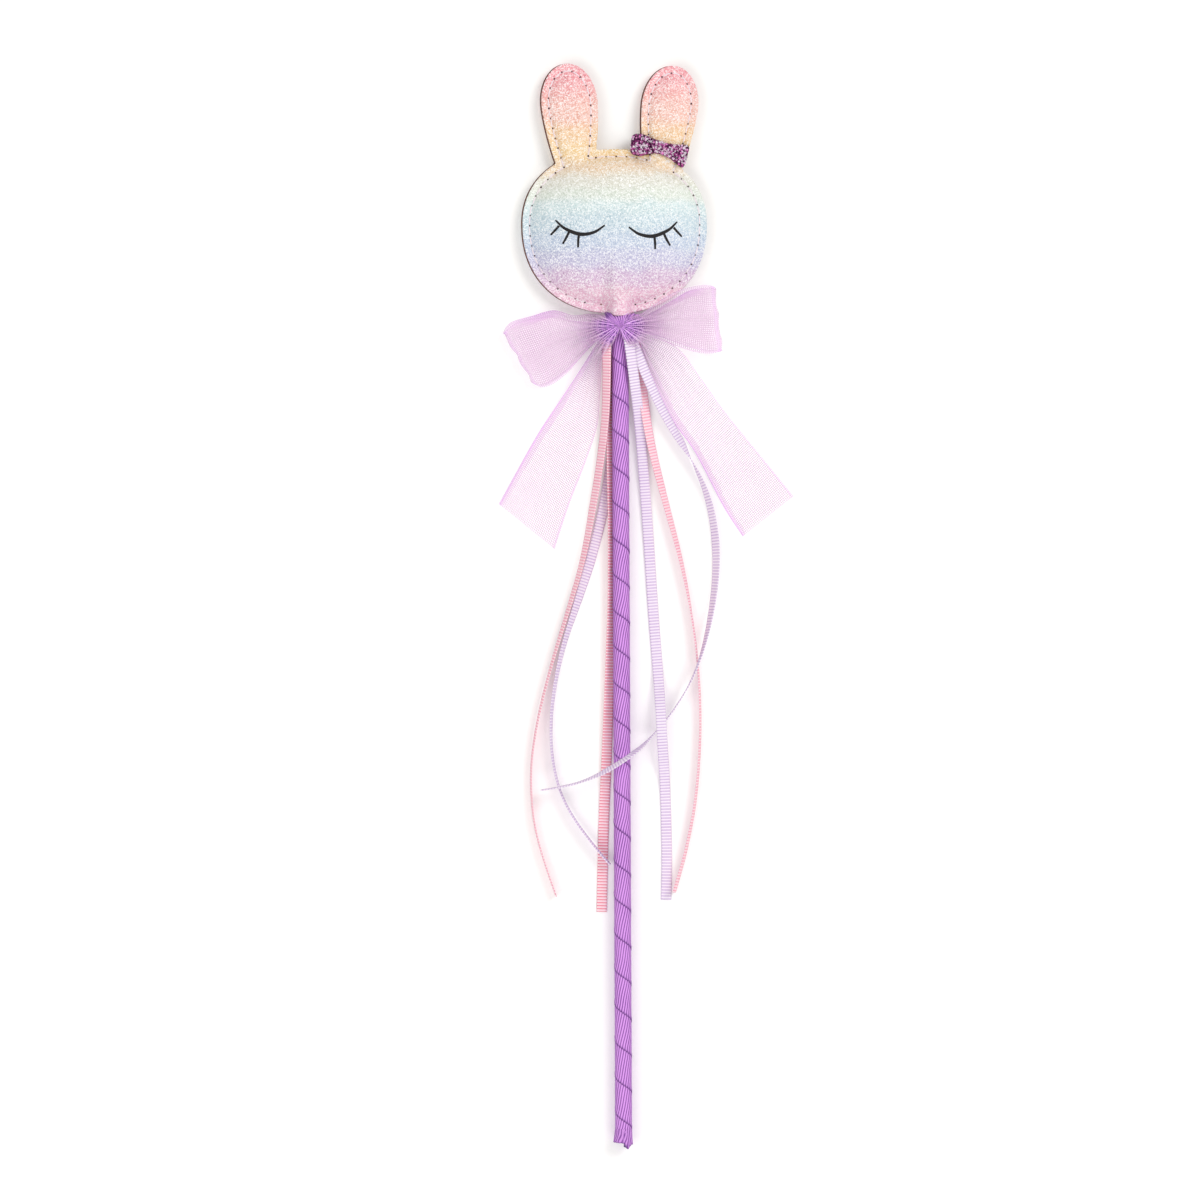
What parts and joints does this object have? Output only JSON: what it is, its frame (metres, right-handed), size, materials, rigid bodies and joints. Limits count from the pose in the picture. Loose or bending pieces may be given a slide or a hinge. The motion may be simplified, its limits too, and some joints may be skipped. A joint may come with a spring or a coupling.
{
  "type": "fairy wand",
  "caption": "Child's fairy wand: stuffed glitter bunny head on a ribbon-wrapped stick, with a sheer neck bow and narrow ribbon streamers.",
  "frame": {"origin": "middle of the outline of the wand without its streamers, on the surface it lies on", "axes": "+Y along the stick towards the ears, +Z away from the surface, out of the face, +X to the right of the face as seen from the front"},
  "size_m": [0.099, 0.3618, 0.0124],
  "materials": {
    "birch": "matte",
    "purple_grosgrain": "satin",
    "glitter_sheet": "satin",
    "brown_backing": "matte",
    "white_thread": "satin",
    "fibre_filling": "matte",
    "hot_melt": "satin",
    "black_print": "satin",
    "chunky_glitter": "gloss",
    "lilac_organza": "satin",
    "pink_grosgrain": "satin",
    "lilac_grosgrain": "satin"
  },
  "bodies": {
    "wand": {"dowel": "birch", "handle_wrap": "purple_grosgrain", "handle_end_fold": "purple_grosgrain", "head_front_panel": "glitter_sheet", "head_back_panel": "brown_backing", "needle_thread": "white_thread", "bobbin_thread": "white_thread", "head_stuffing": "fibre_filling", "left_ear_stuffing": "fibre_filling", "right_ear_stuffing": "fibre_filling", "head_glue": "hot_melt", "left_eye": "black_print", "right_eye": "black_print", "ear_bow": "chunky_glitter", "bow_knot": "lilac_organza", "bow_left_loop": "lilac_organza", "bow_right_loop": "lilac_organza", "lilac_streamer_inner_left": "lilac_grosgrain", "pink_streamer_under_stick": "pink_grosgrain"},
    "front_streamers": {"lilac_streamer_straight": "lilac_grosgrain", "pink_streamer_right": "pink_grosgrain", "lilac_streamer_crossing": "lilac_grosgrain"},
    "left_streamer": {"pink_streamer_outer_left": "pink_grosgrain"},
    "left_tail": {"bow_left_tail": "lilac_organza"},
    "right_tail": {"bow_right_tail": "lilac_organza"}
  },
  "joints": [
    {"name": "front_streamers_lift", "type": "hinge", "parent": "wand", "child": "front_streamers", "pos_m": [-0.003, 0.0865, 0.0073], "axis": [-1, 0, 0], "range_deg": [0, 90]},
    {"name": "left_streamer_lift", "type": "hinge", "parent": "wand", "child": "left_streamer", "pos_m": [-0.0134, 0.0865, 0.0052], "axis": [-1, 0, 0], "range_deg": [0, 90]},
    {"name": "left_tail_lift", "type": "hinge", "parent": "wand", "child": "left_tail", "pos_m": [-0.0164, 0.0868, 0.0058], "axis": [-1, 0, 0], "range_deg": [0, 75]},
    {"name": "right_tail_lift", "type": "hinge", "parent": "wand", "child": "right_tail", "pos_m": [0.005, 0.0868, 0.0058], "axis": [-1, 0, 0], "range_deg": [0, 75]}
  ]
}
